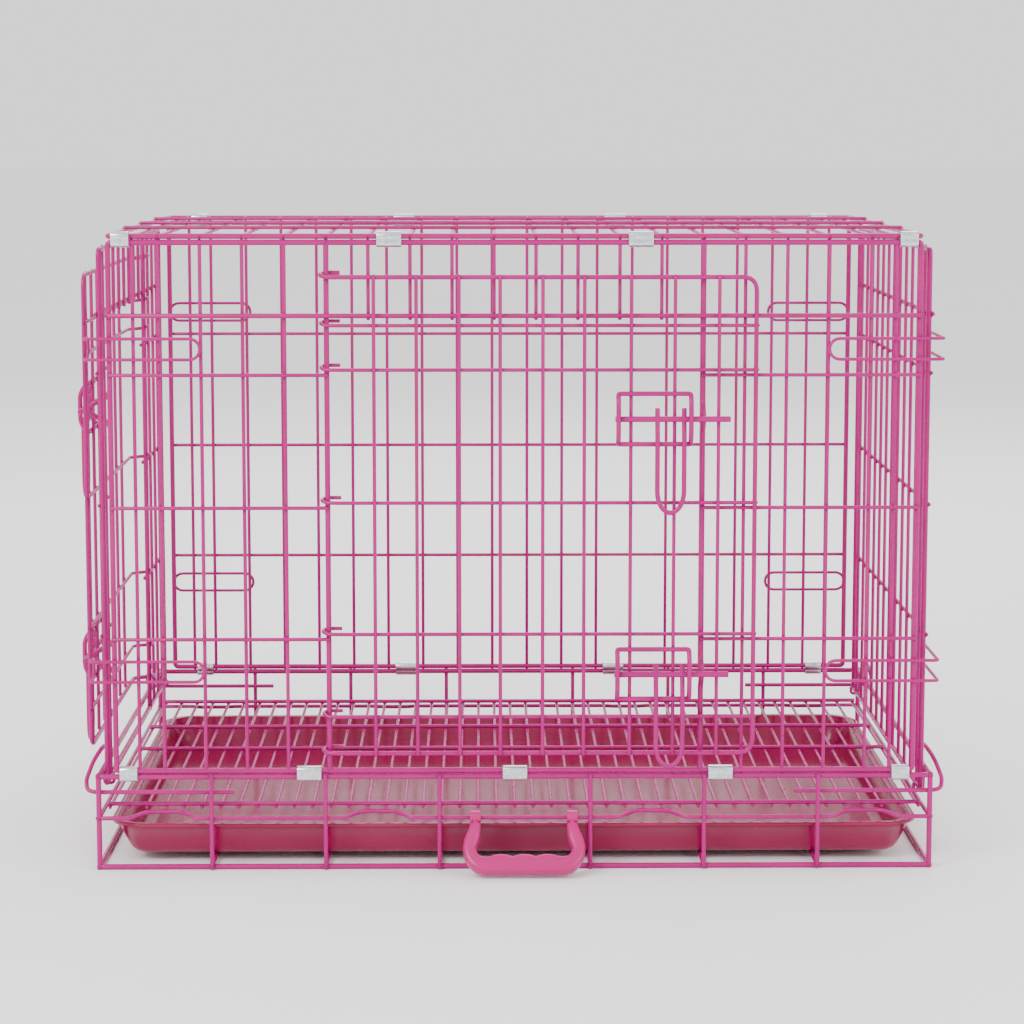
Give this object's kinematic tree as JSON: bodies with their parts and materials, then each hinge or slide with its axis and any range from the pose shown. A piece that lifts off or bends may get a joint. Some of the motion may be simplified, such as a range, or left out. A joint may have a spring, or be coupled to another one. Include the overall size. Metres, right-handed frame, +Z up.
{
  "type": "folding wire dog crate",
  "caption": "Folding wire dog crate with a base frame, slide-out tray, floor grid, hinged front and side doors with slide bolts, and panels that fold flat.",
  "frame": {"origin": "on the floor, under the middle of the whole crate's box", "axes": "+X along the length, to the right seen from the front door; +Y from front to back; +Z up"},
  "size_m": [0.7958, 0.533, 0.5802],
  "materials": {
    "powder_coated_wire": "glossy pink powder coat over steel wire",
    "tray_plastic": "glossy crimson pink moulded plastic",
    "handle_plastic": "satin pink moulded plastic",
    "clip_zinc": "bright zinc-plated sheet"
  },
  "bodies": {
    "base": {"base_bottom": "powder_coated_wire", "base_frame": "powder_coated_wire", "floor_grid": "powder_coated_wire", "front_base_clip_1": "clip_zinc", "front_base_clip_2": "clip_zinc", "front_base_clip_3": "clip_zinc", "front_base_clip_4": "clip_zinc", "front_base_clip_5": "clip_zinc", "back_base_clip_1": "clip_zinc", "back_base_clip_2": "clip_zinc", "back_base_clip_3": "clip_zinc", "back_base_clip_4": "clip_zinc"},
    "tray": {"tray": "tray_plastic"},
    "carry_handle": {"carry_handle": "handle_plastic"},
    "front_panel": {"front_left_bay": "powder_coated_wire", "front_right_bay": "powder_coated_wire", "front_header": "powder_coated_wire", "front_sill": "powder_coated_wire", "front_left_upper_hook": "powder_coated_wire", "front_left_lower_hook": "powder_coated_wire", "front_right_upper_hook": "powder_coated_wire", "front_right_lower_hook": "powder_coated_wire"},
    "back_panel": {"back_panel": "powder_coated_wire", "back_left_upper_hook": "powder_coated_wire", "back_left_lower_hook": "powder_coated_wire", "back_right_upper_hook": "powder_coated_wire", "back_right_lower_hook": "powder_coated_wire"},
    "top_panel": {"top_panel": "powder_coated_wire", "front_top_clip_1": "clip_zinc", "front_top_clip_2": "clip_zinc", "front_top_clip_3": "clip_zinc", "front_top_clip_4": "clip_zinc", "back_top_clip_1": "clip_zinc", "back_top_clip_2": "clip_zinc", "back_top_clip_3": "clip_zinc", "back_top_clip_4": "clip_zinc"},
    "left_end_panel": {"left_end_panel": "powder_coated_wire"},
    "right_end_panel": {"right_end_panel": "powder_coated_wire"},
    "front_door": {"front_door": "powder_coated_wire"},
    "side_door": {"side_door": "powder_coated_wire"},
    "front_upper_bolt": {"front_upper_bolt": "powder_coated_wire"},
    "front_lower_bolt": {"front_lower_bolt": "powder_coated_wire"},
    "side_upper_bolt": {"side_upper_bolt": "powder_coated_wire"},
    "side_lower_bolt": {"side_lower_bolt": "powder_coated_wire"}
  },
  "joints": [
    {"name": "front_panel_fold", "type": "hinge", "parent": "base", "child": "front_panel", "pos_m": [0.00494, -0.22363, 0.0917], "axis": [-1, 0, 0], "range_deg": [-83, 0]},
    {"name": "back_panel_fold", "type": "hinge", "parent": "base", "child": "back_panel", "pos_m": [0.00494, 0.26137, 0.0917], "axis": [-1, 0, 0], "range_deg": [-83, 0]},
    {"name": "top_panel_fold", "type": "hinge", "parent": "front_panel", "child": "top_panel", "pos_m": [0.00494, -0.22363, 0.57], "axis": [-1, 0, 0], "range_deg": [0, 83]},
    {"name": "left_end_fold", "type": "hinge", "parent": "base", "child": "left_end_panel", "pos_m": [-0.36656, 0.01887, 0.079], "axis": [0, -1, 0], "range_deg": [-90, 0]},
    {"name": "right_end_fold", "type": "hinge", "parent": "base", "child": "right_end_panel", "pos_m": [0.37644, 0.01887, 0.07], "axis": [0, 1, 0], "range_deg": [-90, 0]},
    {"name": "front_door_hinge", "type": "hinge", "parent": "front_panel", "child": "front_door", "pos_m": [-0.16304, -0.22363, 0.324], "axis": [0, 0, -1], "range_deg": [0, 110]},
    {"name": "side_door_hinge", "type": "hinge", "parent": "left_end_panel", "child": "side_door", "pos_m": [-0.36656, 0.11234, 0.324], "axis": [0, 0, -1], "range_deg": [0, 110]},
    {"name": "tray_slide", "type": "slide", "parent": "base", "child": "tray", "axis": [1, 0, 0], "range_m": [0, 0.55]},
    {"name": "carry_handle_swing", "type": "hinge", "parent": "base", "child": "carry_handle", "pos_m": [0.01294, -0.22363, 0.0477], "axis": [-1, 0, 0], "range_deg": [0, 115]},
    {"name": "front_upper_bolt_slide", "type": "slide", "parent": "front_door", "child": "front_upper_bolt", "axis": [-1, 0, 0], "range_m": [0, 0.028]},
    {"name": "front_lower_bolt_slide", "type": "slide", "parent": "front_door", "child": "front_lower_bolt", "axis": [-1, 0, 0], "range_m": [0, 0.028]},
    {"name": "side_upper_bolt_slide", "type": "slide", "parent": "side_door", "child": "side_upper_bolt", "axis": [0, 1, 0], "range_m": [0, 0.028]},
    {"name": "side_lower_bolt_slide", "type": "slide", "parent": "side_door", "child": "side_lower_bolt", "axis": [0, 1, 0], "range_m": [0, 0.028]}
  ],
  "couplings": [
    {"joint": "back_panel_fold", "follows": "front_panel_fold", "ratio": 1},
    {"joint": "top_panel_fold", "follows": "front_panel_fold", "ratio": -1}
  ]
}
